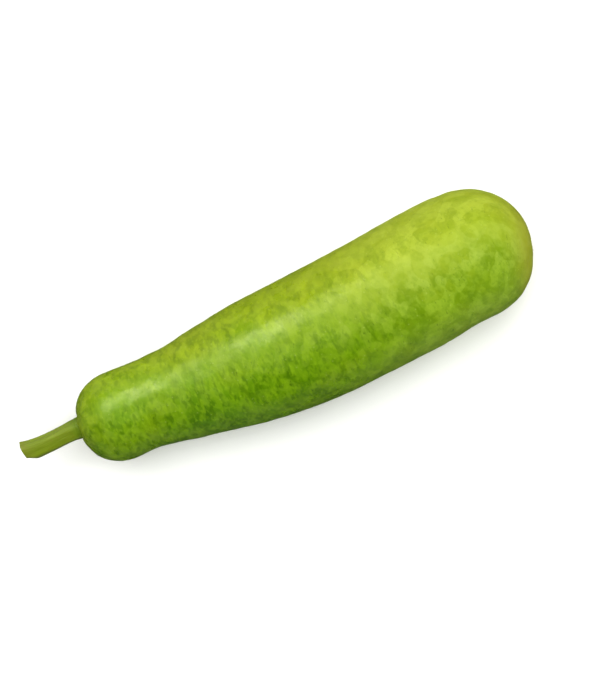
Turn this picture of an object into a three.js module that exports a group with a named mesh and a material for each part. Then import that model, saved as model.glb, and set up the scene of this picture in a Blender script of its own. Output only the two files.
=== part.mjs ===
// A young bottle gourd of the long kind, picked with a short piece of its stalk and lying on its side.
// Millimetres, +Z up. The origin is on the surface that the gourd lies on, under its middle.
// +X runs from the stalk to the blossom end, and the gourd's gentle bend lies level, in the XY plane.
import * as THREE from 'three';

// ---- Driving dimensions: the fruit ----

// Sections across the fruit, from the round stem end's centre to the blossom end's centre: the distance
// along the fruit, the distance of the section's middle to the side, and the section's radius.
const SECTIONS = [
  { along: 0, side: -0.3, radius: 27.4 },
  { along: 15, side: -0.4, radius: 26.9 },
  { along: 27, side: -1.2, radius: 27.8 },
  { along: 42, side: -2.8, radius: 30.1 },
  { along: 58, side: -3.4, radius: 32.9 },
  { along: 88, side: -4.0, radius: 37.4 },
  { along: 122, side: -5.0, radius: 39.6 },
  { along: 156, side: -3.9, radius: 40.1 },
  { along: 190, side: -1.5, radius: 40.6 },
  { along: 212, side: 0.5, radius: 40.4 },
  { along: 228.3, side: 0.6, radius: 39.6 },
];
// The two round ends are a little fuller than a ball, most of all midway between pole and rim.
const STEM_END_SHOULDER = 0.025;
const BLOSSOM_END_SHOULDER = 0.015;
// The stem end's centre, placed so that the origin is under the middle of the whole gourd.
const STEM_END_X = -102.4;
const STEM_END_Y = 2.0;

// The belly is the thickest part and lies on the surface, so the axis dips a little to the stem end.
const AXIS_TILT = 1.25;
const AXIS_HEIGHT = 39.5;
const AXIS_HEIGHT_AT = 148;

// The stalk's dimple, with puckered skin round it and a flat seat at its bottom.
const DIMPLE_DEPTH = 2.2;
const DIMPLE_WIDTH = 8;
const DIMPLE_TURN = -7;
const SEAT_RADIUS = 7.3;
const SEAT_DEPTH = 0.7;
const SEAT_LIP = 0.3;
const PUCKERS = 5;
const PUCKER_HEIGHT = 0.35;
const PUCKER_RADIUS = 10;
const PUCKER_WIDTH = 3.5;

// The blossom scar: a shallow dish with a raised ring and the nub of the fallen flower in it.
const DISH_DEPTH = 0.7;
const DISH_WIDTH = 8;
const SCAR_TURN = -20;
const SCAR_RADIUS = 3.7;
const SCAR_RING_HEIGHT = 0.4;
const SCAR_RING_WIDTH = 0.9;
const NUB_HEIGHT = 0.8;
const NUB_WIDTH = 1.3;

// Slow swells and hollows keep the skin from being a perfectly turned shape.
const SWELL_HEIGHT = 0.4;

// ---- Driving dimensions: the stalk ----

const STALK_RADIUS = 5.75;
const STALK_END = new THREE.Vector3(-165.2, 5.6, 33.6);
const STALK_END_DIRECTION = new THREE.Vector3(-1, 0.22, -0.08);
// How far the stalk keeps its first direction at its root, and its last one before its end.
const STALK_ROOT_REACH = 8;
const STALK_END_REACH = 11;
const STALK_RIDGES = 5;
const STALK_RIDGE_HEIGHT = 0.35;
// How far round the stalk, from its side, the first ridge stands.
const STALK_RIDGE_TURN = 7;
const STALK_ROOT_SWELL = 1.1;
const STALK_ROOT_WIDTH = 6.5;
const STALK_END_SWELL = 0.6;
const STALK_CUT_ANGLE = 17;
const STALK_CUT_REACH = 9;
// The knife has pinched in the cut end on its -Y side.
const PINCH_DEPTH = 2.6;
const PINCH_REACH = 3.0;
const PITH_RADIUS = 2.6;
const PITH_DEPTH = 0.7;
// The gap between the stalk's root and its seat in the fruit.
const ROOT_GAP = 0.3;

// ---- How finely the round shapes are divided ----

const FRUIT_SIDES = 64;
const BODY_RINGS = 34;
const CAP_RINGS = 13;
const SCAR_RINGS = [5.6, 4.6, 3.7, 2.9, 2.0, 1.0, 0];
const STALK_SIDES = 36;
const STALK_RINGS = 20;

const radians = THREE.MathUtils.degToRad;
const bell = (distance, width) => Math.exp(-((distance / width) ** 2));

// ---- The axis of the fruit ----

// One smooth curve through the sections holds the place of the axis, and another the radius.
const axis = new THREE.CatmullRomCurve3(
  SECTIONS.map(({ along, side }) => {
    const height = AXIS_HEIGHT + Math.tan(radians(AXIS_TILT)) * (along - AXIS_HEIGHT_AT);
    return new THREE.Vector3(STEM_END_X + along, STEM_END_Y + side, height);
  }),
  false,
  'catmullrom',
);
const girth = new THREE.CatmullRomCurve3(
  SECTIONS.map(({ along, radius }) => new THREE.Vector3(along, radius, 0)),
  false,
  'catmullrom',
);

// The directions at a share of the way along the axis: forward, to the side and up.
function axisFrame(share) {
  const middle = axis.getPoint(share);
  const forward = axis.getTangent(share);
  const side = new THREE.Vector3(-forward.y, forward.x, 0).normalize();
  const up = new THREE.Vector3().crossVectors(forward, side);
  return { middle, forward, side, up };
}

// ---- The rings of the fruit, from the seat of the stalk to the blossom scar ----

// A ring is known by its share of the way along the axis, its radius, and how far forward of the axis
// point it lies. The rings of the two round ends also turn about that point, and may be puckered.

// Height of a round end's skin over the end's centre, without relief.
const domeHeight = (radius, fromPole) => Math.sqrt(Math.max(radius ** 2 - fromPole ** 2, 0));

// Radius of a round end at an angle from its pole.
const fullRadius = (radius, shoulder, polar) => radius * (1 + shoulder * Math.sin(2 * polar) ** 2);

// The turn is full round the pole and fades to nothing where the round end meets the body.
function endTurn(degrees, radius, fromPole) {
  return radians(degrees) * THREE.MathUtils.smoothstep(domeHeight(radius, fromPole) / radius, 0, 0.95);
}

const stemEndRadius = SECTIONS[0].radius;
const dimple = (fromPole) => DIMPLE_DEPTH * bell(fromPole, DIMPLE_WIDTH);
const seatHeight = domeHeight(stemEndRadius, SEAT_RADIUS) - dimple(SEAT_RADIUS) - SEAT_DEPTH;

function stemEndRings() {
  const turn = radians(DIMPLE_TURN);
  const rings = [
    { share: 0, radius: 0, forward: -seatHeight, turn, pucker: 0 },
    { share: 0, radius: SEAT_RADIUS, forward: -seatHeight, turn, pucker: 0 },
  ];
  const first = Math.asin((SEAT_RADIUS + SEAT_LIP) / stemEndRadius);
  for (let ring = 0; ring < CAP_RINGS; ring++) {
    const polar = THREE.MathUtils.lerp(first, Math.PI / 2, (ring / CAP_RINGS) ** 1.25);
    const full = fullRadius(stemEndRadius, STEM_END_SHOULDER, polar);
    const fromPole = full * Math.sin(polar);
    rings.push({
      share: 0,
      radius: fromPole,
      forward: dimple(fromPole) - domeHeight(full, fromPole),
      turn: endTurn(DIMPLE_TURN, full, fromPole),
      pucker: PUCKER_HEIGHT * bell(fromPole - PUCKER_RADIUS, PUCKER_WIDTH),
    });
  }
  return rings;
}

function bodyRings() {
  return Array.from({ length: BODY_RINGS + 1 }, (_, ring) => {
    const share = ring / BODY_RINGS;
    return { share, radius: girth.getPoint(share).y, forward: 0, turn: 0, pucker: 0 };
  });
}

function blossomEndRings() {
  const { radius } = SECTIONS[SECTIONS.length - 1];
  const scar = (fromPole) =>
    SCAR_RING_HEIGHT * bell(fromPole - SCAR_RADIUS, SCAR_RING_WIDTH) +
    NUB_HEIGHT * bell(fromPole, NUB_WIDTH) -
    DISH_DEPTH * bell(fromPole, DISH_WIDTH);
  const scarPolars = SCAR_RINGS.map((fromPole) => Math.asin(fromPole / radius));
  const capPolars = Array.from({ length: CAP_RINGS - 1 }, (_, ring) => {
    return THREE.MathUtils.lerp(Math.PI / 2, scarPolars[0], (ring + 1) / CAP_RINGS);
  });
  return [...capPolars, ...scarPolars].map((polar) => {
    const full = fullRadius(radius, BLOSSOM_END_SHOULDER, polar);
    const fromPole = full * Math.sin(polar);
    return {
      share: 1,
      radius: fromPole,
      forward: domeHeight(full, fromPole) + scar(fromPole),
      turn: endTurn(SCAR_TURN, full, fromPole),
      pucker: 0,
    };
  });
}

// ---- The fruit ----

function swell(share, angle) {
  const slow = Math.sin(2 * angle + 7 * share) * Math.sin(3 * angle - 11 * share + 1);
  const long = Math.sin(angle + 19 * share + 2);
  return SWELL_HEIGHT * (0.6 * slow + 0.4 * long);
}

// A turned shape whose rings are hung on the bent axis, swelled a little, and flattened where it rests.
function fruitGeometry() {
  const rings = [...stemEndRings(), ...bodyRings(), ...blossomEndRings()];
  const profile = rings.map((ring, index) => new THREE.Vector2(ring.radius, index));
  const geometry = new THREE.LatheGeometry(profile, FRUIT_SIDES);
  const position = geometry.getAttribute('position');
  const point = new THREE.Vector3();
  for (let index = 0; index < position.count; index++) {
    point.fromBufferAttribute(position, index);
    const ring = rings[Math.round(point.y)];
    const angle = Math.atan2(point.x, point.z);
    const { middle, forward, side, up } = axisFrame(ring.share);
    const fullness = ring.radius / girth.getPoint(ring.share).y;
    const out = ring.radius + swell(ring.share, angle) * fullness ** 2;
    point
      .set(0, 0, 0)
      .addScaledVector(forward, ring.forward - ring.pucker * Math.cos(PUCKERS * angle))
      .addScaledVector(side, out * Math.cos(angle))
      .addScaledVector(up, out * Math.sin(angle))
      .applyAxisAngle(up, ring.turn)
      .add(middle);
    position.setXYZ(index, point.x, point.y, Math.max(point.z, 0));
  }
  geometry.computeVertexNormals();
  return geometry;
}

// ---- The stalk ----

// The stalk grows straight out of its seat and then bends to its cut end.
function stalkCurve() {
  const { middle, forward, up } = axisFrame(0);
  const outward = forward.negate().applyAxisAngle(up, radians(DIMPLE_TURN));
  const root = middle.addScaledVector(outward, seatHeight + ROOT_GAP);
  const afterRoot = root.clone().addScaledVector(outward, STALK_ROOT_REACH);
  const beforeEnd = STALK_END.clone().addScaledVector(STALK_END_DIRECTION, -STALK_END_REACH);
  return new THREE.CubicBezierCurve3(root, afterRoot, beforeEnd, STALK_END);
}

// Radius along the stalk: widest at the root, and a little wider again at the cut end.
function stalkRadius(fromRoot, length) {
  const root = STALK_ROOT_SWELL * bell(fromRoot, STALK_ROOT_WIDTH);
  const end = STALK_END_SWELL * bell(length - fromRoot, STALK_CUT_REACH);
  return STALK_RADIUS + root + end;
}

// A turned shape that follows the stalk's curve, ridged along its length, with an oblique cut end.
function stalkGeometry() {
  const curve = stalkCurve();
  const length = curve.getLength();
  const profile = [new THREE.Vector2(0, 0)];
  for (let ring = 0; ring <= STALK_RINGS; ring++) {
    const fromRoot = (length * ring) / STALK_RINGS;
    profile.push(new THREE.Vector2(stalkRadius(fromRoot, length), fromRoot));
  }
  profile.push(new THREE.Vector2(PITH_RADIUS, length));
  profile.push(new THREE.Vector2(0.8 * PITH_RADIUS, length - PITH_DEPTH));
  profile.push(new THREE.Vector2(0, length - PITH_DEPTH));
  const geometry = new THREE.LatheGeometry(profile, STALK_SIDES);
  const position = geometry.getAttribute('position');
  const point = new THREE.Vector3();
  for (let index = 0; index < position.count; index++) {
    point.fromBufferAttribute(position, index);
    const fromRoot = point.y;
    const angle = Math.atan2(point.z, point.x);
    const radius = Math.hypot(point.x, point.z);
    const fullness = (1 - bell(fromRoot, STALK_ROOT_WIDTH)) * (radius / STALK_RADIUS) ** 2;
    const pinch = PINCH_DEPTH * bell(length - fromRoot, PINCH_REACH) * Math.max(-Math.cos(angle), 0) ** 2;
    const ridgeAngle = STALK_RIDGES * (angle + radians(STALK_RIDGE_TURN));
    const ridge = STALK_RIDGE_HEIGHT * fullness * Math.cos(ridgeAngle);
    const out = radius + ridge - (pinch * radius) / STALK_RADIUS;
    const share = Math.min(fromRoot / length, 1);
    const middle = curve.getPointAt(share);
    const forward = curve.getTangentAt(share);
    const side = new THREE.Vector3(forward.y, -forward.x, 0).normalize();
    const up = new THREE.Vector3().crossVectors(side, forward);
    const sideways = out * Math.cos(angle);
    const cut = sideways * Math.tan(radians(STALK_CUT_ANGLE)) * bell(length - fromRoot, STALK_CUT_REACH);
    point
      .copy(middle)
      .addScaledVector(forward, cut)
      .addScaledVector(side, sideways)
      .addScaledVector(up, out * Math.sin(angle));
    position.setXYZ(index, point.x, point.y, point.z);
  }
  geometry.computeVertexNormals();
  return geometry;
}

// ---- The gourd ----

const skin = new THREE.MeshStandardMaterial({ color: 0x8db32a, roughness: 0.42, metalness: 0 });
const stalkSkin = new THREE.MeshStandardMaterial({ color: 0x7f9a24, roughness: 0.6, metalness: 0 });

const fruit = new THREE.Mesh(fruitGeometry(), skin);
fruit.name = 'fruit';

const stem = new THREE.Mesh(stalkGeometry(), stalkSkin);
stem.name = 'stem';

const gourd = new THREE.Group();
gourd.name = 'bottle_gourd';
gourd.add(fruit, stem);

export default gourd;
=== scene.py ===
import math

import bpy
import numpy as np
from mathutils import Matrix, Vector, noise


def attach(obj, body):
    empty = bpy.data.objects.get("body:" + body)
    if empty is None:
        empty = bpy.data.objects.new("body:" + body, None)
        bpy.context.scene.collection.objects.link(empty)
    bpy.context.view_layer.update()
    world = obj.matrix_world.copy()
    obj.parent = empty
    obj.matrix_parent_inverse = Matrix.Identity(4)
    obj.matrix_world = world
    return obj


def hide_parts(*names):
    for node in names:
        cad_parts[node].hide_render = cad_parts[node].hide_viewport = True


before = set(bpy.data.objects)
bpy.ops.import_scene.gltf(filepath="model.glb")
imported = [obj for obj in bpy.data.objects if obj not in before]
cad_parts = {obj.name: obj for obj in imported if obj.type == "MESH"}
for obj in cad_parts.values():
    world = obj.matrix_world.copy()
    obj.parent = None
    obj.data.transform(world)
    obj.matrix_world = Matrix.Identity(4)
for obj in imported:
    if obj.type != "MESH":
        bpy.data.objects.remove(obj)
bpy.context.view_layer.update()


# ---- The fruit ----
# The gourd itself, grown as one body: a slim rounded stem end, a long belly and a rounded blossom end.
# A thin, tender rind covers firm flesh. It is picked young and lies on its belly, with nothing holding it.

MM = 0.001
# Along the fruit, to the side, and the radius there, from the stem end's centre to the blossom end's.
SECTIONS = np.array([
    (0, -0.3, 27.4),
    (15, -0.4, 26.9),
    (27, -1.2, 27.8),
    (42, -2.8, 30.1),
    (58, -3.4, 32.9),
    (88, -4.0, 37.4),
    (122, -5.0, 39.6),
    (156, -3.9, 40.1),
    (190, -1.5, 40.6),
    (212, 0.5, 40.4),
    (228.3, 0.6, 39.6),
]) * MM
# The two round ends are a little fuller than a ball, most of all midway between pole and rim.
STEM_END_SHOULDER = 0.025
BLOSSOM_END_SHOULDER = 0.015
STEM_END = Vector((-102.4, 2.0, 0.0)) * MM
AXIS_TILT = math.radians(1.25)
AXIS_HEIGHT = 39.5 * MM
AXIS_HEIGHT_AT = 148 * MM

FRUIT_SIDES = 240
STEM_END_RINGS = 76
BODY_RINGS = 216
BLOSSOM_END_RINGS = 86
# The rings of a round end stand closer towards its pole, by this power.
STEM_END_CROWDING = 1.2
BLOSSOM_END_CROWDING = 1.35
# A ring smaller than this is a single point, and a step this share of the way shows where the axis points.
POINT_RADIUS = 1e-9
AXIS_STEP = 1e-4

DIMPLE_DEPTH = 2.2 * MM
DIMPLE_WIDTH = 8 * MM
DIMPLE_TURN = math.radians(-7)
SEAT_RADIUS = 6.6 * MM
SEAT_DEPTH = 0.5 * MM
SEAT_EDGE = 0.8 * MM
PUCKERS = 5
PUCKER_HEIGHT = 0.35 * MM
PUCKER_RADIUS = 10 * MM
PUCKER_WIDTH = 3.5 * MM
CREASES = 23
CREASE_HEIGHT = 0.12 * MM

SCAR_TURN = math.radians(-20)
DISH_DEPTH = 0.7 * MM
DISH_WIDTH = 8 * MM
SCAR_RADIUS = 3.7 * MM
SCAR_RING_HEIGHT = 0.4 * MM
SCAR_RING_WIDTH = 0.9 * MM
NUB_HEIGHT = 0.9 * MM
NUB_WIDTH = 1.2 * MM

SWELL_HEIGHT = 0.4 * MM
# Size and height of the low, soft unevenness of the rind, from the coarsest to the finest.
UNEVENNESS = [(16 * MM, 0.3 * MM), (7 * MM, 0.19 * MM), (3.2 * MM, 0.085 * MM)]


def bell(distance, width):
    """A smooth bump, 1 in the middle and 0 well outside its width."""
    return np.exp(-((distance / width) ** 2))


def smoothstep(value, low, high):
    """Smooth ramp from 0 at the low value to 1 at the high one."""
    t = np.clip((value - low) / (high - low), 0, 1)
    return t * t * (3 - 2 * t)


def through(points, share):
    """Smooth curve through the points, at the given shares of the way from the first to the last."""
    ends = np.vstack([2 * points[0] - points[1], points, 2 * points[-1] - points[-2]])
    place = np.atleast_1d(share) * (len(points) - 1)
    first = np.clip(np.floor(place), 0, len(points) - 2).astype(int)
    t = (place - first)[:, None]
    a, b, c, d = (ends[first + step] for step in range(4))
    return 0.5 * (2 * b + (c - a) * t + (2 * a - 5 * b + 4 * c - d) * t**2 + (3 * b - a - 3 * c + d) * t**3)


def axis_points():
    """Points in the middle of the fruit, one for each section."""
    along, side = SECTIONS[:, 0], SECTIONS[:, 1]
    height = AXIS_HEIGHT + math.tan(AXIS_TILT) * (along - AXIS_HEIGHT_AT)
    return np.column_stack([STEM_END.x + along, STEM_END.y + side, height])


def full_radius(radius, shoulder, polar):
    """Radius of a round end at an angle from its pole."""
    return radius * (1 + shoulder * np.sin(2 * polar) ** 2)


def end_turn(turn, polar):
    """Turn of the rings of a round end: full about its pole, and none at its rim."""
    return turn * smoothstep(np.cos(polar), 0, 0.95)


def dimple(from_pole):
    """Depth of the hollow that the stalk stands in, with a small seat at its bottom."""
    seat = SEAT_DEPTH * (1 - smoothstep(from_pole, SEAT_RADIUS, SEAT_RADIUS + SEAT_EDGE))
    return DIMPLE_DEPTH * bell(from_pole, DIMPLE_WIDTH) + seat


def scar(from_pole):
    """Height of the flower's scar: a shallow dish with a corky ring and a nub in it."""
    ring = SCAR_RING_HEIGHT * bell(from_pole - SCAR_RADIUS, SCAR_RING_WIDTH)
    nub = NUB_HEIGHT * bell(from_pole, NUB_WIDTH)
    return ring + nub - DISH_DEPTH * bell(from_pole, DISH_WIDTH)


def fruit_rings():
    """Rows of share along the axis, radius, distance forward of the axis point, turn and pucker."""
    quarter = math.pi / 2
    polar = quarter * (np.arange(STEM_END_RINGS) / STEM_END_RINGS) ** STEM_END_CROWDING
    full = full_radius(SECTIONS[0, 2], STEM_END_SHOULDER, polar)
    out = full * np.sin(polar)
    stem_end = np.column_stack([
        np.zeros_like(out),
        out,
        dimple(out) - full * np.cos(polar),
        end_turn(DIMPLE_TURN, polar),
        bell(out - PUCKER_RADIUS, PUCKER_WIDTH),
    ])
    share = np.arange(BODY_RINGS + 1) / BODY_RINGS
    body = np.zeros((len(share), 5))
    body[:, 0] = share
    body[:, 1] = through(SECTIONS, share)[:, 2]
    back = 1 - np.arange(1, BLOSSOM_END_RINGS + 1) / BLOSSOM_END_RINGS
    polar = quarter * back**BLOSSOM_END_CROWDING
    full = full_radius(SECTIONS[-1, 2], BLOSSOM_END_SHOULDER, polar)
    out = full * np.sin(polar)
    blossom_end = np.column_stack([
        np.ones_like(out),
        out,
        full * np.cos(polar) + scar(out),
        end_turn(SCAR_TURN, polar),
        np.zeros_like(out),
    ])
    return np.vstack([stem_end, body, blossom_end])


def swell(share, angle):
    """Slow bulges and hollows, along the fruit and round it."""
    slow = np.sin(2 * angle + 7 * share) * np.sin(3 * angle - 11 * share + 1)
    long = np.sin(angle + 19 * share + 2)
    return SWELL_HEIGHT * (0.6 * slow + 0.4 * long)


def uneven(place):
    """Height of the rind's unevenness at a place."""
    return sum(height * noise.noise(place / size) for size, height in UNEVENNESS)


def closed_skin(rows, columns, first_pole, last_pole):
    """Faces of a skin of rows of points, each row a ring, closed by a point at either end."""
    faces = [(first_pole, (step + 1) % columns, step) for step in range(columns)]
    for row in range(rows - 1):
        low, high = row * columns, (row + 1) * columns
        for step in range(columns):
            ahead = (step + 1) % columns
            faces.append((low + step, low + ahead, high + ahead, high + step))
    top = (rows - 1) * columns
    faces += [(last_pole, top + step, top + (step + 1) % columns) for step in range(columns)]
    return faces


def new_piece(name, points, faces, straight):
    """A smooth mesh piece. Each point keeps its place on the piece as if that were straight and turned."""
    mesh = bpy.data.meshes.new(name)
    mesh.from_pydata(points, [], faces)
    mesh.attributes.new("straight", "FLOAT_VECTOR", "POINT")
    mesh.attributes["straight"].data.foreach_set("vector", np.asarray(straight, np.float32).ravel())
    mesh.shade_smooth()
    piece = bpy.data.objects.new(name, mesh)
    bpy.context.collection.objects.link(piece)
    return piece


def make_fruit():
    """The rind, ring by ring from the middle of the dimple to the middle of the scar."""
    rings = fruit_rings()
    axis = axis_points()
    places = through(axis, rings[:, 0])
    ahead = through(axis, np.minimum(rings[:, 0] + AXIS_STEP, 1))
    behind = through(axis, np.maximum(rings[:, 0] - AXIS_STEP, 0))
    girths = through(SECTIONS, rings[:, 0])[:, 2]
    alongs = through(SECTIONS, rings[:, 0])[:, 0]
    angles = np.arange(FRUIT_SIDES) * 2 * math.pi / FRUIT_SIDES
    points, straight = [], []
    for row, (share, radius, forward, turn, pucker) in enumerate(rings):
        middle = Vector(places[row])
        along = Vector(ahead[row] - behind[row]).normalized()
        side = Vector((-along.y, along.x, 0)).normalized()
        up = along.cross(side)
        spin = Matrix.Rotation(turn, 3, up)
        fullness = radius / girths[row]
        pole = radius < POINT_RADIUS
        for angle in angles[:1] if pole else angles:
            out = radius + swell(share, angle) * fullness**2
            fold = PUCKER_HEIGHT * math.cos(PUCKERS * angle) + CREASE_HEIGHT * math.cos(CREASES * angle + 1)
            flat = side * (out * math.cos(angle)) + up * (out * math.sin(angle))
            point = middle + spin @ (flat + along * (forward - pucker * fold))
            outward = (point - middle - along * (forward * (1 - fullness))).normalized()
            point += outward * uneven(point)
            point.z = max(point.z, 0)
            points.append(point)
            straight.append((radius * math.cos(angle), radius * math.sin(angle), alongs[row] + forward))
    # The two poles move to the end of the list, so that every other row is a full ring.
    for listing in (points, straight):
        listing.insert(len(listing) - 1, listing.pop(0))
    rows = len(rings) - 2
    faces = closed_skin(rows, FRUIT_SIDES, rows * FRUIT_SIDES, rows * FRUIT_SIDES + 1)
    return new_piece("fruit_skin", points, faces, straight)


fruit = make_fruit()


def linear(hex_colour):
    """An sRGB hex colour as the linear colour that a shader takes."""
    parts = [int(hex_colour[place : place + 2], 16) / 255 for place in (1, 3, 5)]
    return (*(((c + 0.055) / 1.055) ** 2.4 if c > 0.04045 else c / 12.92 for c in parts), 1)


def add(tree, kind, inputs, **settings):
    """Adds a node with its settings, and sets or links its inputs, each by its name or its number."""
    made = tree.nodes.new(kind)
    for name, value in settings.items():
        setattr(made, name, value)
    usable = [socket for socket in made.inputs if socket.enabled]
    for wanted, value in inputs.items():
        target = next(socket for number, socket in enumerate(usable) if wanted in (number, socket.name))
        if isinstance(value, bpy.types.Node):
            value = next(socket for socket in value.outputs if socket.enabled)
        if isinstance(value, bpy.types.NodeSocket):
            tree.links.new(value, target)
        else:
            target.default_value = value
    return made


def spots(tree, place, around, along, start, low, high, detail=1.5, distortion=0.0):
    """Soft spots, 1 on a spot and 0 between them, from a spot's size round and along the piece in mm."""
    scale = (1000 / around, 1000 / around, 1000 / along)
    fitted = add(tree, "ShaderNodeMapping", {"Vector": place, "Location": (start,) * 3, "Scale": scale})
    cloud = add(
        tree,
        "ShaderNodeTexNoise",
        {"Vector": fitted, "Scale": 1.0, "Detail": detail, "Roughness": 0.5, "Distortion": distortion},
    )
    return add(
        tree,
        "ShaderNodeMapRange",
        {"Value": cloud, "From Min": low, "From Max": high},
        interpolation_type="SMOOTHSTEP",
    )


# Young bottle gourd rind: living skin with a thin natural wax on it, grown, not worked. It looks satin, and
# its green is mottled: short pale flecks run round the fruit by the stalk, broad soft patches lie by the
# blossom end. The side away from the light has painted shade, a deeper, darker green, and the lit side a
# warmer olive that is partly painted light.
rind = bpy.data.materials.new("young_gourd_rind")
rind.use_nodes = True
tree = rind.node_tree
tree.nodes.clear()
straight = add(tree, "ShaderNodeAttribute", {}, attribute_name="straight").outputs["Vector"]
parts = add(tree, "ShaderNodeSeparateXYZ", {"Vector": straight})
side, along = parts.outputs["X"], parts.outputs["Z"]
flat = add(tree, "ShaderNodeVectorMath", {0: straight, 1: (1, 1, 0)}, operation="MULTIPLY")
from_axis = add(tree, "ShaderNodeVectorMath", {0: flat}, operation="LENGTH").outputs["Value"]

STALK_GREEN = "#698C0F"
BLOSSOM_GREEN = "#8EA128"
to_blossom = add(
    tree,
    "ShaderNodeMapRange",
    {"Value": along, "From Min": 70 * MM, "From Max": 210 * MM},
    interpolation_type="SMOOTHSTEP",
)
green = add(
    tree,
    "ShaderNodeMix",
    {"Factor": to_blossom, "A": linear(STALK_GREEN), "B": linear(BLOSSOM_GREEN)},
    data_type="RGBA",
)

# The mottling, from the broadest to the finest: a spot's size round and along the fruit in mm, how ragged its
# edge is, where in the noise it starts, the noise at a spot's edge and at its middle, its colour, and its
# strength by the stalk and by the blossom end.
MOTTLING = [
    dict(around=38, along=46, detail=1.5, start=4.3, low=0.42, high=0.64,
         colour="#84930B", stalk=0.5, blossom=0.3),
    dict(around=22, along=18, detail=1.5, start=16.9, low=0.44, high=0.68,
         colour="#567B04", stalk=0.55, blossom=0.3),
    dict(around=12, along=7, detail=1.5, start=11.7, low=0.44, high=0.72,
         colour="#476902", stalk=0.6, blossom=0.1),
    dict(around=14, along=12, detail=0, start=35.2, low=0.48, high=0.54,
         colour="#A4B647", stalk=0.05, blossom=0.38),
    dict(around=9, along=8, detail=0, start=44.6, low=0.53, high=0.58,
         colour="#A9BB50", stalk=0.15, blossom=0.42),
    dict(around=8, along=7, detail=0.5, start=29.5, low=0.55, high=0.6,
         colour="#728C0C", stalk=0.1, blossom=0.4),
    dict(around=9, along=3.8, detail=1.2, start=23.9, low=0.5, high=0.63,
         colour="#88A41C", stalk=0.5, blossom=0.1),
    dict(around=6.5, along=3.2, detail=1.2, start=63.5, low=0.5, high=0.64,
         colour="#416204", stalk=0.45, blossom=0.12),
    dict(around=3.6, along=1.9, detail=1.5, start=77.7, low=0.51, high=0.66,
         colour="#90AB2A", stalk=0.38, blossom=0.1),
    dict(around=3.4, along=3, detail=1.5, start=88.1, low=0.5, high=0.62,
         colour="#A6B84C", stalk=0.0, blossom=0.24),
    dict(around=2.4, along=2, detail=1.5, start=97.3, low=0.52, high=0.64,
         colour="#6F8A14", stalk=0.0, blossom=0.32),
    dict(around=3.2, along=1.1, detail=1.5, start=51.2, low=0.69, high=0.74,
         colour="#3E5808", stalk=0.55, blossom=0.5),
]
# The mottling is fainter along the top, where the wax lies thickest.
from_top = add(tree, "ShaderNodeMath", {0: side, 1: 9 * MM}, operation="SUBTRACT")
from_top = add(tree, "ShaderNodeMath", {0: from_top}, operation="ABSOLUTE")
clearness = add(
    tree,
    "ShaderNodeMapRange",
    {"Value": from_top, "From Min": 3 * MM, "From Max": 14 * MM, "To Min": 0.5, "To Max": 1.0},
    interpolation_type="SMOOTHSTEP",
)
for layer in MOTTLING:
    shape = {name: layer[name] for name in ("around", "along", "start", "low", "high", "detail")}
    where = spots(tree, straight, distortion=0.25, **shape)
    ends = {"Value": along, "From Min": 105 * MM, "From Max": 205 * MM}
    ends |= {"To Min": layer["stalk"], "To Max": layer["blossom"]}
    strength = add(tree, "ShaderNodeMapRange", ends, interpolation_type="SMOOTHSTEP")
    strength = add(tree, "ShaderNodeMath", {0: strength, 1: clearness}, operation="MULTIPLY")
    share = add(tree, "ShaderNodeMath", {0: where, 1: strength}, operation="MULTIPLY")
    colours = {"Factor": share, "A": green, "B": linear(layer["colour"])}
    green = add(tree, "ShaderNodeMix", colours, data_type="RGBA")

# Streaks that fan out from the stalk and from the blossom scar: which end, a streak's size in mm, across it
# at the fan's radius and outward, where in the noise it starts, the noise at its edge and at its middle, its
# colour and its strength.
FAN_RADIUS = 12 * MM
FANS = [
    dict(at=(-4, -18), around=2.2, outward=8, start=7.7, low=0.5, high=0.62,
         colour="#93A82C", strength=0.4),
    dict(at=(-4, -18), around=1.6, outward=4.5, start=21.5, low=0.54, high=0.64,
         colour="#4D6D08", strength=0.45),
    dict(at=(236, 246), around=2.2, outward=7, start=55.1, low=0.5, high=0.64,
         colour="#7D9013", strength=0.4),
]
outward = add(tree, "ShaderNodeCombineXYZ", {"Z": from_axis})
heading = add(tree, "ShaderNodeVectorMath", {0: flat}, operation="NORMALIZE")
heading = add(tree, "ShaderNodeVectorMath", {0: heading, 1: (FAN_RADIUS,) * 3}, operation="MULTIPLY")
fan_place = add(tree, "ShaderNodeVectorMath", {0: heading, 1: outward}, operation="ADD")
for fan in FANS:
    start, stop = fan["at"]
    streak = spots(tree, fan_place, fan["around"], fan["outward"], fan["start"], fan["low"], fan["high"])
    ends = {"Value": along, "From Min": start * MM, "From Max": stop * MM, "To Max": fan["strength"]}
    near = add(tree, "ShaderNodeMapRange", ends)
    share = add(tree, "ShaderNodeMath", {0: streak, 1: near}, operation="MULTIPLY")
    colours = {"Factor": share, "A": green, "B": linear(fan["colour"])}
    green = add(tree, "ShaderNodeMix", colours, data_type="RGBA")
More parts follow.
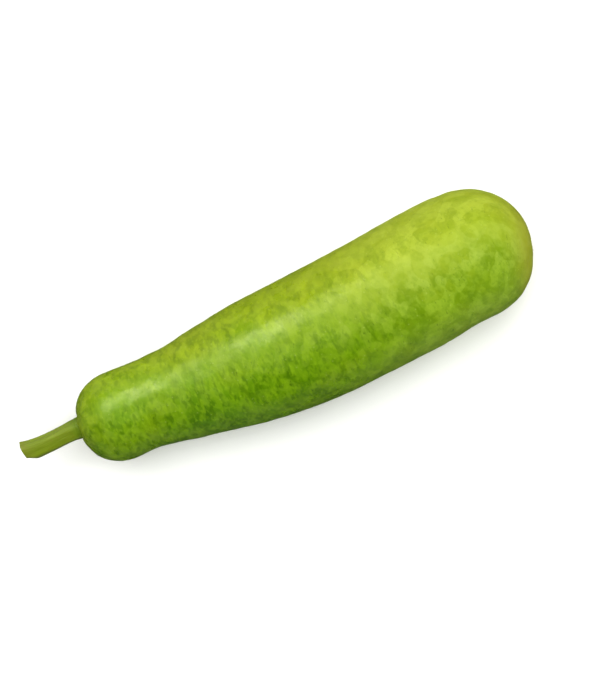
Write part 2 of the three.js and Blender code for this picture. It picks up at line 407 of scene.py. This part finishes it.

# The two sides: on the lit side an olive bloom and a warmer green, partly the side that faced the sun and
# partly painted warm light; on the side away from the light a deeper, darker green that is painted shade.
# Where each begins and is full across the fruit in mm, its colour, how it is laid, and its strength.
SUN_TINT_AND_PAINTED_SHADE = [
    # Partly painted light: a lighter, warmer olive on the lit side.
    dict(begins=10, full=36, colour="#8F9B18", way="MIX", strength=0.4),
    dict(begins=4, full=22, colour="#FCFA90", way="MULTIPLY", strength=0.7),
    # Painted shade: the green is multiplied darker on the side away from the light.
    dict(begins=18, full=-22, colour="#CFE688", way="MULTIPLY", strength=1.0),
]
from_stalk_end = add(
    tree,
    "ShaderNodeMapRange",
    {"Value": along, "From Min": 5 * MM, "From Max": 50 * MM, "To Min": 0.85},
)
from_blossom_end = add(
    tree,
    "ShaderNodeMapRange",
    {"Value": along, "From Min": 250 * MM, "From Max": 150 * MM, "To Min": 0.9},
)
both_ends = add(tree, "ShaderNodeMath", {0: from_stalk_end, 1: from_blossom_end}, operation="MULTIPLY")
for tint in SUN_TINT_AND_PAINTED_SHADE:
    across = {"Value": side, "From Min": tint["begins"] * MM, "From Max": tint["full"] * MM}
    across["To Max"] = tint["strength"]
    reach = add(tree, "ShaderNodeMapRange", across, interpolation_type="SMOOTHSTEP")
    share = add(tree, "ShaderNodeMath", {0: reach, 1: both_ends}, operation="MULTIPLY")
    colours = {"Factor": share, "A": green, "B": linear(tint["colour"])}
    green = add(tree, "ShaderNodeMix", colours, data_type="RGBA", blend_type=tint["way"])

# Pale specks, 0.8 mm across, and about this far apart.
SPECK_SPACING = 4 * MM
speckle = add(tree, "ShaderNodeTexVoronoi", {"Vector": straight, "Scale": 1 / SPECK_SPACING})
speck = {"Value": speckle, "From Min": 0.15, "From Max": 0.06, "To Max": 0.25}
speck = add(tree, "ShaderNodeMapRange", speck, interpolation_type="SMOOTHSTEP")
colours = {"Factor": speck, "A": green, "B": linear("#A2B456")}
green = add(tree, "ShaderNodeMix", colours, data_type="RGBA")

# Rings round the blossom scar and in the dimple, one of them painted shade round the stalk's root: which end,
# where each begins and is full from the middle in mm, its colour and its strength. Their edges are ragged, as
# cork and healed skin are.
RING_RAGGEDNESS = 0.9 * MM
RINGS = [
    dict(at=(215, 245), begins=37, full=20, colour="#99980C", strength=0.55),
    dict(at=(200, 240), begins=8.0, full=5.5, colour="#8A8C1E", strength=0.6),
    dict(at=(200, 240), begins=5.7, full=4.4, colour="#786B36", strength=0.8),
    dict(at=(200, 240), begins=3.8, full=2.4, colour="#8B8747", strength=0.7),
    dict(at=(200, 240), begins=2.0, full=1.2, colour="#574527", strength=0.9),
    dict(at=(5, -12), begins=24, full=10, colour="#7F8E18", strength=0.5),
    # Painted shade: a darker green ring in the dimple, where the stalk meets the fruit.
    dict(at=(0, -15), begins=11, full=7, colour="#526F13", strength=0.5),
    dict(at=(0, -15), begins=8.2, full=6.9, colour="#787E3D", strength=0.7),
]
crumbs = spots(tree, straight, 1.4, 1.4, 12.3, 0.3, 0.7, detail=3)
from_middle = {0: crumbs, 1: RING_RAGGEDNESS, 2: from_axis}
from_middle = add(tree, "ShaderNodeMath", from_middle, operation="MULTIPLY_ADD")
for ring in RINGS:
    start, stop = ring["at"]
    end = add(tree, "ShaderNodeMapRange", {"Value": along, "From Min": start * MM, "From Max": stop * MM})
    inside = {"Value": from_middle, "From Min": ring["begins"] * MM, "From Max": ring["full"] * MM}
    inside["To Max"] = ring["strength"]
    disc = add(tree, "ShaderNodeMapRange", inside, interpolation_type="SMOOTHSTEP")
    share = add(tree, "ShaderNodeMath", {0: end, 1: disc}, operation="MULTIPLY")
    colours = {"Factor": share, "A": green, "B": linear(ring["colour"])}
    green = add(tree, "ShaderNodeMix", colours, data_type="RGBA")

# The wax is satin, a little duller round the waist and more so towards the blossom end.
gloss_drift = spots(tree, straight, 9, 8, 71.0, 0.25, 0.75, detail=3)
gloss = add(tree, "ShaderNodeMapRange", {"Value": gloss_drift, "To Min": 0.22, "To Max": 0.4})
from_waist = add(tree, "ShaderNodeMath", {0: along, 1: 57 * MM}, operation="SUBTRACT")
from_waist = add(tree, "ShaderNodeMath", {0: from_waist}, operation="ABSOLUTE")
DULL = [
    {"Value": from_waist, "From Min": 34 * MM, "From Max": 8 * MM, "To Max": 0.1},
    {"Value": along, "From Min": 130 * MM, "From Max": 185 * MM, "To Max": 0.17},
]
for zone in DULL:
    dullness = add(tree, "ShaderNodeMapRange", zone, interpolation_type="SMOOTHSTEP")
    gloss = add(tree, "ShaderNodeMath", {0: gloss, 1: dullness}, operation="ADD")
# The pores, drawn 1.2 to 1.8 mm apart. Real ones are finer, too fine to show.
grain = spots(tree, straight, 1.8, 1.2, 83.0, 0.2, 0.8, detail=3)
relief = add(tree, "ShaderNodeBump", {"Strength": 0.6, "Distance": 0.06 * MM, "Height": grain})
skin = add(
    tree,
    "ShaderNodeBsdfPrincipled",
    {
        "Base Color": green,
        "Roughness": gloss,
        "IOR": 1.45,
        "Specular IOR Level": 0.4,
        "Specular Tint": linear("#F0F5C4"),
        "Normal": relief,
    },
)
add(tree, "ShaderNodeOutputMaterial", {"Surface": skin})

fruit.data.materials.append(rind)
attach(fruit, "root")
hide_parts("fruit")


# ---- The stalk ----
# The short piece of stalk left on when the gourd was picked: five-ridged, green and fibrous, swollen where
# it joins the fruit, and cut across at a slant. It grows out of the dimple in the stem end.

STALK_RADIUS = 5.75 * MM
STALK_END = Vector((-165.2, 5.6, 33.6)) * MM
STALK_END_DIRECTION = Vector((-1, 0.22, -0.08))
STALK_ROOT_REACH = 8 * MM
STALK_END_REACH = 11 * MM
STALK_RIDGES = 5
STALK_RIDGE_HEIGHT = 0.35 * MM
STALK_RIDGE_TURN = math.radians(7)
ROOT_SWELL = 1.1 * MM
ROOT_SWELL_WIDTH = 6.5 * MM
ROOT_CREASE_DEPTH = 0.16 * MM
ROOT_CREASE_PLACE = 3.4 * MM
ROOT_CREASE_WIDTH = 0.6 * MM
END_SWELL = 0.6 * MM
CUT_SLANT = math.radians(17)
CUT_REACH = 9 * MM
PINCH_DEPTH = 2.6 * MM
PINCH_REACH = 3.0 * MM
RIM_ROUNDING = 0.35 * MM
PITH_RADIUS = 2.6 * MM
PITH_DEPTH = 0.9 * MM
BUNDLES = 10
BUNDLE_RADIUS = 3.9 * MM
BUNDLE_HEIGHT = 0.16 * MM
BUNDLE_WIDTH = 0.5 * MM
ROOT_SINK = 0.7 * MM
ROOT_GAP = 0.3 * MM
# Fibres along the stalk: the size of one round and along it, and how far it stands out.
FIBRES = [(1.5 * MM, 22 * MM, 0.12 * MM), (0.6 * MM, 12 * MM, 0.08 * MM)]

STALK_SIDES = 180
STALK_RINGS = 150
CUT_RINGS = 30
FOOT_RINGS = 4
RIM_RINGS = 5
# A step along the stalk that shows which way it points.
STALK_STEP = 0.2 * MM


def stalk_line():
    """Points along the middle of the stalk, from its seat in the fruit to its cut end."""
    first = Vector(axis_points()[0])
    next_point = Vector(through(axis_points(), AXIS_STEP)[0])
    inward = (next_point - first).normalized()
    side = Vector((-inward.y, inward.x, 0)).normalized()
    outward = Matrix.Rotation(DIMPLE_TURN, 3, inward.cross(side)) @ -inward
    seat = SECTIONS[0, 2] - DIMPLE_DEPTH - ROOT_SINK
    root = first + outward * (seat + ROOT_GAP)
    handles = (
        root,
        root + outward * STALK_ROOT_REACH,
        STALK_END - STALK_END_DIRECTION * STALK_END_REACH,
        STALK_END,
    )
    t = np.linspace(0, 1, 200)[:, None]
    a, b, c, d = (np.array(handle) for handle in handles)
    return a * (1 - t) ** 3 + 3 * b * t * (1 - t) ** 2 + 3 * c * t**2 * (1 - t) + d * t**3


def stalk_rings(length):
    """Rows of radius, distance from the root, and how much of the cut face's relief shows there."""
    foot = [(STALK_RADIUS * step / FOOT_RINGS, 0, 0) for step in range(FOOT_RINGS + 1)]
    wall = []
    for from_root in np.linspace(0, length - RIM_ROUNDING, STALK_RINGS)[1:]:
        root = ROOT_SWELL * bell(from_root, ROOT_SWELL_WIDTH)
        crease = ROOT_CREASE_DEPTH * bell(from_root - ROOT_CREASE_PLACE, ROOT_CREASE_WIDTH)
        end = END_SWELL * bell(length - from_root, CUT_REACH)
        wall.append((STALK_RADIUS + root - crease + end, from_root, 0))
    rim = wall[-1][0]
    turn = []
    for lean in np.linspace(0, math.pi / 2, RIM_RINGS + 1)[1:]:
        out = rim - RIM_ROUNDING * (1 - math.cos(lean))
        turn.append((out, length - RIM_ROUNDING * (1 - math.sin(lean)), 0))
    face = []
    for out in np.linspace(turn[-1][0], 0, CUT_RINGS + 1)[1:]:
        sunk = PITH_DEPTH * (1 - smoothstep(out, 0.75 * PITH_RADIUS, 1.05 * PITH_RADIUS))
        face.append((out, length - sunk, 1))
    return foot + wall + turn + face


def make_stalk():
    """The stalk's skin, ring by ring from its root to the middle of its cut face."""
    line = stalk_line()
    steps = np.linalg.norm(np.diff(line, axis=0), axis=1)
    reach = np.concatenate([[0], np.cumsum(steps)])
    length = reach[-1]
    angles = np.arange(STALK_SIDES) * 2 * math.pi / STALK_SIDES
    points, straight = [], []
    for radius, from_root, on_face in stalk_rings(length):
        middle, before, after = (
            Vector([np.interp(place, reach, line[:, k]) for k in range(3)])
            for place in (from_root, max(from_root - STALK_STEP, 0), min(from_root + STALK_STEP, length))
        )
        ahead = (after - before).normalized()
        side = Vector((ahead.y, -ahead.x, 0)).normalized()
        up = side.cross(ahead)
        fullness = (1 - bell(from_root, ROOT_SWELL_WIDTH)) * (radius / STALK_RADIUS) ** 2
        pole = radius < POINT_RADIUS
        for angle in angles[:1] if pole else angles:
            ridge = STALK_RIDGE_HEIGHT * math.cos(STALK_RIDGES * (angle + STALK_RIDGE_TURN))
            out = radius + ridge * fullness
            for width, run, height in FIBRES:
                round_it = Vector((math.cos(angle), math.sin(angle), 0)) * (radius / width)
                lift = noise.noise(round_it + Vector((0, 0, from_root / run)))
                out += height * lift * (0.3 + 0.7 * min(fullness, 1)) * (radius / STALK_RADIUS) ** 2
            pinch = PINCH_DEPTH * bell(length - from_root, PINCH_REACH) * max(-math.cos(angle), 0) ** 2
            out -= pinch * radius / STALK_RADIUS
            across = out * math.cos(angle)
            slant = across * math.tan(CUT_SLANT) * bell(length - from_root, CUT_REACH)
            strand = bell(radius - BUNDLE_RADIUS, BUNDLE_WIDTH) * math.cos(BUNDLES * angle)
            raised = BUNDLE_HEIGHT * on_face * strand
            point = middle + ahead * (slant + raised) + side * across + up * (out * math.sin(angle))
            points.append(point)
            straight.append((radius * math.cos(angle), radius * math.sin(angle), from_root))
    for listing in (points, straight):
        listing.insert(len(listing) - 1, listing.pop(0))
    rows = (len(points) - 2) // STALK_SIDES
    faces = closed_skin(rows, STALK_SIDES, rows * STALK_SIDES, rows * STALK_SIDES + 1)
    return new_piece("cut_stalk", points, faces, straight)


stalk = make_stalk()

# Green stalk fibre: a young, juicy stalk, matt and finely ribbed, and drying to a grey brown towards the cut.
# Its root is darker, partly with painted shade, and its lower half has painted shade. The cut face shows pale
# flesh with a ring of darker strands.
fibre = bpy.data.materials.new("green_stalk_fibre")
fibre.use_nodes = True
tree = fibre.node_tree
tree.nodes.clear()
straight = add(tree, "ShaderNodeAttribute", {}, attribute_name="straight").outputs["Vector"]
parts = add(tree, "ShaderNodeSeparateXYZ", {"Vector": straight})
flat = add(tree, "ShaderNodeVectorMath", {0: straight, 1: (1, 1, 0)}, operation="MULTIPLY")
from_axis = add(tree, "ShaderNodeVectorMath", {0: flat}, operation="LENGTH").outputs["Value"]
from_root = parts.outputs["Z"]
STALK_OLIVE = "#6C7E1B"
olive = linear(STALK_OLIVE)
# The streaks: size round and along the stalk in mm, start in the noise, its values at the edge and the
# middle of a streak, colour and strength.
STREAKS = [
    dict(around=5, along=40, start=4.2, low=0.42, high=0.6, colour="#7F9224", strength=0.4),
    dict(around=3, along=30, start=19.2, low=0.48, high=0.64, colour="#5E6E08", strength=0.4),
    dict(around=0.9, along=14, start=33.7, low=0.45, high=0.7, colour="#899A33", strength=0.25),
    dict(around=0.7, along=9, start=47.1, low=0.5, high=0.72, colour="#526108", strength=0.25),
    dict(around=2, along=2, start=58.9, low=0.58, high=0.7, colour="#756C28", strength=0.3),
]
for streak in STREAKS:
    shape = {name: streak[name] for name in ("around", "along", "start", "low", "high")}
    where = spots(tree, straight, **shape)
    share = add(tree, "ShaderNodeMath", {0: where, 1: streak["strength"]}, operation="MULTIPLY")
    colours = {"Factor": share, "A": olive, "B": linear(streak["colour"])}
    olive = add(tree, "ShaderNodeMix", colours, data_type="RGBA")
# Painted shade: the half of the stalk away from the light is multiplied to a deeper, darker green.
painted_shade = {"Value": parts.outputs["X"], "From Min": 1.5 * MM, "From Max": -1.5 * MM}
painted_shade = add(tree, "ShaderNodeMapRange", painted_shade, interpolation_type="SMOOTHSTEP")
colours = {"Factor": painted_shade, "A": olive, "B": linear("#E9ECAA")}
olive = add(tree, "ShaderNodeMix", colours, data_type="RGBA", blend_type="MULTIPLY")
# Bands along the stalk: where each begins and is full from the root in mm, colour and strength.
BANDS = [
    # Partly painted shade: the first band is a deeper, darker green towards the root, where the stalk meets
    # the fruit.
    dict(begins=9, full=2, colour="#557006", strength=0.7),
    dict(begins=30, full=38, colour="#77752C", strength=0.3),
]
for band in BANDS:
    ends = {"Value": from_root, "From Min": band["begins"] * MM, "From Max": band["full"] * MM}
    ends["To Max"] = band["strength"]
    reach = add(tree, "ShaderNodeMapRange", ends, interpolation_type="SMOOTHSTEP")
    colours = {"Factor": reach, "A": olive, "B": linear(band["colour"])}
    olive = add(tree, "ShaderNodeMix", colours, data_type="RGBA")
# Rings of the cut face, from the rim inwards: where each begins and is full from the middle in mm, and its
# colour. Their edges are ragged, because the knife has torn the fibres.
CUT_RAGGEDNESS = 0.7 * MM
CUT_FACE = [
    dict(begins=5.7, full=5.2, colour="#9FA765"),
    dict(begins=4.9, full=3.9, colour="#A9AD74"),
    dict(begins=3.3, full=2.7, colour="#8F9150"),
    dict(begins=2.8, full=1.9, colour="#B3AE7F"),
    dict(begins=1.6, full=0.6, colour="#8D7F52"),
]
crumbs = spots(tree, straight, 0.9, 0.9, 12.3, 0.3, 0.7, detail=3)
from_middle = {0: crumbs, 1: CUT_RAGGEDNESS, 2: from_axis}
from_middle = add(tree, "ShaderNodeMath", from_middle, operation="MULTIPLY_ADD")
for ring in CUT_FACE:
    inside = {"Value": from_middle, "From Min": ring["begins"] * MM, "From Max": ring["full"] * MM}
    reach = add(tree, "ShaderNodeMapRange", inside, interpolation_type="SMOOTHSTEP")
    colours = {"Factor": reach, "A": olive, "B": linear(ring["colour"])}
    olive = add(tree, "ShaderNodeMix", colours, data_type="RGBA")
# The strands stand in a ring on the cut face, as darker spots.
angle = add(tree, "ShaderNodeMath", {0: parts.outputs["Y"], 1: parts.outputs["X"]}, operation="ARCTAN2")
wave = add(tree, "ShaderNodeMath", {0: angle, 1: BUNDLES}, operation="MULTIPLY")
wave = add(tree, "ShaderNodeMath", {0: wave}, operation="COSINE")
strand = add(tree, "ShaderNodeMapRange", {"Value": wave, "From Min": 0.1, "From Max": 0.9})
ring_middle = BUNDLE_RADIUS + CUT_RAGGEDNESS / 2
off_ring = add(tree, "ShaderNodeMath", {0: from_middle, 1: ring_middle}, operation="SUBTRACT")
off_ring = add(tree, "ShaderNodeMath", {0: off_ring}, operation="ABSOLUTE")
near = {"Value": off_ring, "From Min": 0.8 * MM, "From Max": 0.3 * MM, "To Max": 0.75}
near = add(tree, "ShaderNodeMapRange", near, interpolation_type="SMOOTHSTEP")
share = add(tree, "ShaderNodeMath", {0: strand, 1: near}, operation="MULTIPLY")
colours = {"Factor": share, "A": olive, "B": linear("#6A7430")}
olive = add(tree, "ShaderNodeMix", colours, data_type="RGBA")
# Fine ribs, drawn 0.5 mm wide. Real ones are finer, too fine to show.
ribs = spots(tree, straight, 0.5, 8, 90.3, 0.2, 0.8, detail=3)
relief = add(tree, "ShaderNodeBump", {"Strength": 0.6, "Distance": 0.08 * MM, "Height": ribs})
stalk_shader = add(
    tree,
    "ShaderNodeBsdfPrincipled",
    {
        "Base Color": olive,
        "Roughness": 0.6,
        "IOR": 1.45,
        "Specular IOR Level": 0.3,
        "Normal": relief,
    },
)
add(tree, "ShaderNodeOutputMaterial", {"Surface": stalk_shader})

stalk.data.materials.append(fibre)
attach(stalk, "root")
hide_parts("stem")


# ---- The table, the light and the camera ----
# A round white table under a large soft light, with three lower soft boxes that light the sides and an end.
# A fifth box shows only as the satin gleam on the rind. None of this belongs to the gourd.

TABLE_RADIUS = 1.0
TABLE_SIDES = 128
turns = [step * 2 * math.pi / TABLE_SIDES for step in range(TABLE_SIDES)]
edge = [(TABLE_RADIUS * math.cos(turn), TABLE_RADIUS * math.sin(turn), 0) for turn in turns]
table_mesh = bpy.data.meshes.new("table")
table_mesh.from_pydata(edge, [], [range(TABLE_SIDES)])
table = bpy.data.objects.new("table", table_mesh)
bpy.context.collection.objects.link(table)
# The table stays out of reflections, so that only the gleam shines on the rind.
table.visible_glossy = False
white = bpy.data.materials.new("matt_white_table")
white.use_nodes = True
white.node_tree.nodes["Principled BSDF"].inputs["Base Color"].default_value = linear("#FBFBF9")
white.node_tree.nodes["Principled BSDF"].inputs["Roughness"].default_value = 0.8
table_mesh.materials.append(white)


def soft_box(name, place, aim, width, height, power, colour, in_gloss=False):
    """A flat lamp at a place, facing another. It gives the light and shade or, in gloss, only the gleam."""
    lamp = bpy.data.lights.new(name, "AREA")
    lamp.shape = "RECTANGLE"
    lamp.size = width
    lamp.size_y = height
    lamp.energy = power
    lamp.color = linear(colour)[:3]
    box = bpy.data.objects.new(name, lamp)
    box.location = place
    box.rotation_euler = (Vector(place) - Vector(aim)).to_track_quat("Z", "Y").to_euler()
    box.visible_camera = False
    box.visible_glossy = in_gloss
    box.visible_diffuse = not in_gloss
    bpy.context.collection.objects.link(box)


soft_box("overhead", (0, 0.3, 2.2), (0, 0, 0), 2.5, 2.5, 94, "#FFFFFF")
soft_box("rim", (0.3, 1.2, 0.36), (0.03, 0, 0.04), 1.8, 0.4, 7.4, "#FFFBF2")
soft_box("end", (1.1, 0.1, 0.4), (0.15, 0, 0.04), 0.6, 0.4, 2.2, "#FFFBF2")
soft_box("low", (0.6, -1.05, 0.12), (0.08, 0, 0.03), 1.2, 0.3, 2.5, "#F8FFE6")
soft_box("gleam", (-0.28, 0.66, 0.85), (-0.03, 0, 0.04), 0.6, 0.38, 8.0, "#FFFBF4", in_gloss=True)

world = bpy.data.worlds.new("pale_room")
bpy.context.scene.world = world
world.use_nodes = True
# The room looks white beyond the table, but gives hardly any light of its own.
tree = world.node_tree
tree.nodes.clear()
seen = add(tree, "ShaderNodeLightPath", {}).outputs["Is Camera Ray"]
glow = add(tree, "ShaderNodeMapRange", {"Value": seen, "To Min": 0.025, "To Max": 1.0})
room = add(tree, "ShaderNodeBackground", {"Color": (1, 1, 1, 1), "Strength": glow})
add(tree, "ShaderNodeOutputWorld", {"Surface": room})
bpy.context.scene.view_settings.view_transform = "Standard"

# The camera looks straight down, turned so that the gourd runs up to the right.
LENS = 100
SENSOR = 36
FRAME_HEIGHT = 410.4 * MM
CAMERA_TURN = math.radians(-24.5)
CENTRE = Vector((15.9, -4.0, 40.0)) * MM
camera_data = bpy.data.cameras.new("camera")
camera_data.lens = LENS
camera_data.sensor_width = SENSOR
camera = bpy.data.objects.new("camera", camera_data)
camera.location = CENTRE + Vector((0, 0, FRAME_HEIGHT * LENS / SENSOR))
camera.rotation_euler = (0, 0, CAMERA_TURN)
bpy.context.collection.objects.link(camera)
bpy.context.scene.camera = camera
